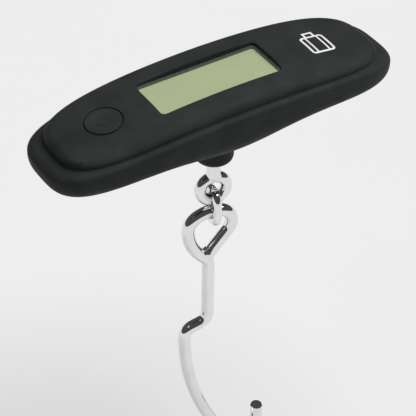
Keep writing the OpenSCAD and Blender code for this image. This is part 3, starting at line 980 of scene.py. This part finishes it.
def display_panel():
    """Display glass: its back rests in the holder, its raised front fills the opening."""
    skin = Skin()
    back = rounded(LCD_X, 0, lcd_high[0] - lcd_low[0], lcd_high[1] - lcd_low[1], 0.3, side=64)
    front = window_loop(-LENS_LIP - 0.1, 0.9)
    made = skin.rings([
        lift(back, lcd_low[2]),
        lift(back, lcd_high[2]),
        lift(front, lcd_high[2]),
        lift(front, LENS_Z - 0.1),
    ])
    skin.fill(made[0], [], lambda x, y: lcd_low[2], cell=3.0)
    skin.fill(made[-1], [], lambda x, y: LENS_Z - 0.1, cell=3.0)
    return place(skin.build("display_panel"), "root", FINISHES["lcd"], "lcd", "lcd_glass")


def luggage_mark():
    """Generic suitcase sign printed on the plateau: a rounded case, its handle and two straps."""
    skin = Skin()
    x0, y0 = 38.6, -0.3
    raised = 0.05

    def surface(x, y):
        return plateau_z(x)

    case = rounded(x0, y0 - 1.0, 9.0, 9.2, 1.3, corner=8, side=10)
    hollow = rounded(x0, y0 - 1.0, 7.5, 7.7, 0.6, corner=8, side=10)
    inlay(skin, case, surface, raised, holes=[hollow])
    grip_y, grip_w, grip_h, stroke = y0 + 3.6, 4.0, 2.2, 0.75
    left, right, top = x0 - grip_w / 2, x0 + grip_w / 2, grip_y + grip_h
    grip = np.array([
        (left, grip_y), (left, top), (right, top), (right, grip_y),
        (right - stroke, grip_y), (right - stroke, top - stroke),
        (left + stroke, top - stroke), (left + stroke, grip_y),
    ])
    inlay(skin, grip, surface, raised)
    for side in (-1, 1):
        strap = rounded(x0 + side * 2.2, y0 - 1.0, 0.6, 7.7, 0.1, corner=2, side=6)
        inlay(skin, strap, surface, raised)
    made = skin.build("luggage_sign")
    crown(made)
    return place(made, "root", MARK, "white_plastic")


# ---------------------------------------------------------------- wire parts

WIRE_SIDES = 48
LINK_BEND = 48
LINK_STEPS = 6


def hang(made):
    """Turns a piece that was built in the XZ plane to the ring's own direction."""
    made.data.transform(Matrix.Rotation(HANG_TURN, 4, "Z"))


def tube(skin, path, heading, across, r, closed=False):
    """Round wire along a path; across is the direction square to the plane it lies in."""
    turn = np.linspace(0, 2 * math.pi, WIRE_SIDES, endpoint=False)
    rows = []
    for p, h in zip(path, heading):
        side = np.cross(across, h)
        rows.append(p + r * (np.outer(np.cos(turn), side) + np.outer(np.sin(turn), across)))
    made = skin.rings(rows)
    if closed:
        skin.bridge(made[-1], made[0])
    return made


def cut_end(skin, ring, p, h, across, r, chamfer=0.25):
    """Flat sawn end with a small chamfer, beyond the last ring of a tube."""
    turn = np.linspace(0, 2 * math.pi, WIRE_SIDES, endpoint=False)
    side = np.cross(across, h)
    around = np.outer(np.cos(turn), side) + np.outer(np.sin(turn), across)
    rim_ring, face = skin.rings([
        p + h * 0.001 + r * around,
        p + h * chamfer + (r - chamfer) * around,
    ])
    skin.bridge(ring, rim_ring)
    middle = skin.ring([p + h * chamfer])[0]
    for i in range(WIRE_SIDES):
        skin.faces.append((face[i], face[(i + 1) % WIRE_SIDES], middle))


def trace(start, angle, pieces, step=0.45):
    """Points and headings along straight [length] and bent [radius, degrees] pieces."""
    at, facing = np.array(start, float), math.radians(angle)
    points, headings = [at.copy()], [facing]
    for piece in pieces:
        if len(piece) == 1:
            n = max(1, round(piece[0] / 2))
            for _ in range(n):
                at = at + piece[0] / n * np.array([math.cos(facing), math.sin(facing)])
                points.append(at)
                headings.append(facing)
        else:
            radius, bend = piece[0], math.radians(piece[1])
            turns = abs(bend) / math.radians(4)
            n = max(3, math.ceil(max(abs(bend) * radius / step, turns)))
            side = math.copysign(1, bend)
            for _ in range(n):
                centre = at + side * radius * np.array([-math.sin(facing), math.cos(facing)])
                facing += bend / n
                at = centre + side * radius * np.array([math.sin(facing), -math.cos(facing)])
                points.append(at)
                headings.append(facing)
    return np.array(points), np.array(headings)


def upright(points, headings):
    """Plane points (s, z) as points in space on the XZ plane, with their headings."""
    at = np.column_stack([points[:, 0], np.zeros(len(points)), points[:, 1]])
    way = np.column_stack([np.cos(headings), np.zeros(len(points)), np.sin(headings)])
    return at, way


ACROSS = np.array([0.0, 1.0, 0.0])
EYE_SIDE = [[8, -30], [6, -98], [12.5]]
HOOK_SIDE = [
    [12, 30], [5.8, 60], [18, 47], [6, -47], [22], [4.5, -73], [2.4], [4.5, 73],
    [100, 25], [13.5], [7.4, 155], [6 - 0.25],
]


# Profile of the weld bead that closes the eye, and where it sits from the wire's end.
WELD_BEAD = [
    (0, -2.5), (1.1, -2.3), (1.9, -1.6), (2.35, -0.6), (2.4, 0.4), (1.9, 1.5), (1.1, 2.2), (0, 2.4),
]
WELD_SHIFT = (0.5, 1.3)


def hook():
    """One bent wire: closed eye, kinked shank and round bowl, with a weld where the eye closes."""
    skin = Skin()
    points, headings = trace((0, HOOK_TOP), 0, EYE_SIDE)
    back, back_way = points[::-1], headings[::-1] + math.pi
    on, on_way = trace((0, HOOK_TOP), 180, HOOK_SIDE)
    at, way = upright(np.concatenate([back, on[1:]]), np.concatenate([back_way, on_way[1:]]))
    rings = tube(skin, at, way, ACROSS, HOOK_WIRE)
    cut_end(skin, rings[0], at[0], -way[0], ACROSS, HOOK_WIRE)
    cut_end(skin, rings[-1], at[-1], way[-1], ACROSS, HOOK_WIRE)
    made = skin.build("wire_hook")
    closed = turned("weld", WELD_BEAD, n=40)
    weld_at = Vector((points[-1][0] + WELD_SHIFT[0], 0, points[-1][1] + WELD_SHIFT[1]))
    closed.data.transform(Matrix.Translation(weld_at * MM))
    combine(made, [closed], "UNION", self_cut=True)
    hang(made)
    return place(made, "hook", CHROME, "chrome", "hook", angle=40)


def link():
    """Welded chain link: a closed oval of round wire."""
    skin = Skin()
    top = LINK_TOP - LINK_R
    low = top - LINK_STRAIGHT
    path, way = [], []
    for k in range(LINK_BEND):
        a = math.pi * k / (LINK_BEND - 1)
        path.append((0, LINK_R * math.cos(a), top + LINK_R * math.sin(a)))
        way.append((0, -math.sin(a), math.cos(a)))
    for k in range(1, LINK_STEPS):
        path.append((0, -LINK_R, top + (low - top) * k / LINK_STEPS))
        way.append((0, 0, -1))
    for k in range(LINK_BEND):
        a = math.pi + math.pi * k / (LINK_BEND - 1)
        path.append((0, LINK_R * math.cos(a), low + LINK_R * math.sin(a)))
        way.append((0, -math.sin(a), math.cos(a)))
    for k in range(1, LINK_STEPS):
        path.append((0, LINK_R, low + (top - low) * k / LINK_STEPS))
        way.append((0, 0, 1))
    tube(skin, np.array(path), np.array(way, float), np.array([1.0, 0, 0]), LINK_WIRE, closed=True)
    made = skin.build("chain_link")
    hang(made)
    return place(made, "link", CHROME, "chrome", "link", angle=40)


SHANK_R = 2.4
SHANK_EDGE = 0.4
SHANK_SINK = 0.6
SHANK_FOOT_R = 2.0
SHANK_BLEND = 2.6
RING_POINTS = 120


def eye_bolt():
    """Ring on a turned shank, blended where they meet."""
    skin = Skin()
    turns = np.linspace(0, 2 * math.pi, RING_POINTS, endpoint=False)
    flat = np.zeros(RING_POINTS)
    path = np.column_stack([RING_R * np.cos(turns), flat, RING_Z + RING_R * np.sin(turns)])
    way = np.column_stack([-np.sin(turns), flat, np.cos(turns)])
    tube(skin, path, way, ACROSS, RING_WIRE, closed=True)
    ring = skin.build("ring_and_shank")
    top, foot = eye_high[2], RING_Z + RING_R
    profile = [(0, foot - SHANK_SINK), (SHANK_FOOT_R, foot - SHANK_SINK)]
    for a in quarter(8):
        wide = 1 - math.sin(a)
        profile.append((
            SHANK_R + 1.0 * wide - 0.6 * wide**3,
            foot + 0.2 + SHANK_BLEND * (1 - math.cos(a)),
        ))
    profile += [(SHANK_R, top - SHANK_EDGE), (SHANK_R - SHANK_EDGE, top), (0, top)]
    combine(ring, [turned("shank", profile, n=64)], "UNION")
    hang(ring)
    return place(ring, "eye", CHROME, "chrome", "eye_bolt", angle=40)


# ---------------------------------------------------------------- building it all

top_cover()
bottom_shell()
battery_door()
power_button()
power_sign()
display_window()
display_panel()
luggage_mark()
eye_bolt()
link()
hook()

replaced = {n for o in bpy.data.objects for n in o.get("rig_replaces", [])}
slots = {part["node"]: part["material_slot"] for part in frame["record"]["subparts"]}
for name, node in frame["nodes"].items():
    if name not in replaced:
        node.data.materials.clear()
        node.data.materials.append(FINISHES[slots[name]])

# ---------------------------------------------------------------- stage, light and camera

FLOOR_Z = hook_low[2] - 0.3


def stage_floor():
    """Plain pale floor under the hook."""
    mesh = bpy.data.meshes.new("floor")
    reach = 6.0
    corners = [(-reach, -reach), (reach, -reach), (reach, reach), (-reach, reach)]
    mesh.from_pydata([(x, y, FLOOR_Z * MM) for x, y in corners], [], [(0, 1, 2, 3)])
    floor = bpy.data.objects.new("floor", mesh)
    bpy.context.scene.collection.objects.link(floor)
    finish, tree, shader = material("pale_floor", (0.80, 0.80, 0.80), 0.9)
    shader.inputs["Specular IOR Level"].default_value = 0.1
    vary_colour(tree, shader, noise(tree, 8, 2), (0.797, 0.797, 0.797), (0.803, 0.803, 0.803))
    mesh.materials.append(finish)


def area_light(name, at, target, size, power):
    """Soft square light."""
    lamp = bpy.data.lights.new(name, "AREA")
    lamp.shape = "SQUARE"
    lamp.size = size
    lamp.energy = power
    holder = bpy.data.objects.new(name, lamp)
    holder.location = at
    holder.rotation_euler = (Vector(at) - Vector(target)).to_track_quat("Z", "Y").to_euler()
    bpy.context.scene.collection.objects.link(holder)


def world_light(level):
    """Even surroundings."""
    world = bpy.data.worlds.new("surroundings")
    world.use_nodes = True
    back = world.node_tree.nodes["Background"]
    back.inputs["Color"].default_value = (1.0, 1.0, 1.0, 1)
    back.inputs["Strength"].default_value = level
    bpy.context.scene.world = world


def sun_light(name, direction, softness, strength):
    lamp = bpy.data.lights.new(name, "SUN")
    lamp.angle = math.radians(softness)
    lamp.energy = strength
    holder = bpy.data.objects.new(name, lamp)
    holder.rotation_euler = Vector(direction).to_track_quat("Z", "Y").to_euler()
    bpy.context.scene.collection.objects.link(holder)


CAMERA_TURN = math.radians(-33.362)
CAMERA_RISE = math.radians(40.108)
CAMERA_ROLL = 0.017
CAMERA_AWAY = 580.77
CAMERA_ASIDE = (-1.581, -33.357)
LENS_LENGTH = 157.54


def photo_camera():
    """Camera at the viewing angle of the reference, a little less than 0.6 m away."""
    right = Vector((math.cos(CAMERA_TURN), math.sin(CAMERA_TURN), 0))
    back = Vector((
        math.sin(CAMERA_TURN) * math.cos(CAMERA_RISE),
        -math.cos(CAMERA_TURN) * math.cos(CAMERA_RISE),
        math.sin(CAMERA_RISE),
    ))
    up = back.cross(right)
    at = back * CAMERA_AWAY + right * CAMERA_ASIDE[0] + up * CAMERA_ASIDE[1]
    side = right * math.cos(CAMERA_ROLL) + up * math.sin(CAMERA_ROLL)
    top = up * math.cos(CAMERA_ROLL) - right * math.sin(CAMERA_ROLL)
    data = bpy.data.cameras.new("camera")
    data.lens = LENS_LENGTH
    data.sensor_width = 36
    data.clip_start = 0.01
    camera = bpy.data.objects.new("camera", data)
    turn = Matrix((side, top, back)).transposed().to_4x4()
    camera.matrix_world = Matrix.Translation(at * MM) @ turn
    bpy.context.scene.collection.objects.link(camera)
    bpy.context.scene.camera = camera


stage_floor()
world_light(0.07)
sun_light("key", (0.45, -0.1, 1.0), 55, 3.35)
area_light("left_strip", (-0.55, -0.1, 0.55), (0, 0, -0.05), 0.16, 0.12)
area_light("back_strip", (0.25, 0.75, 0.75), (0, 0, -0.05), 0.22, 0.22)
area_light("high_strip", (-0.15, 0.1, 0.95), (0, 0, -0.05), 0.12, 0.10)
photo_camera()
bpy.context.scene.view_settings.view_transform = "Standard"
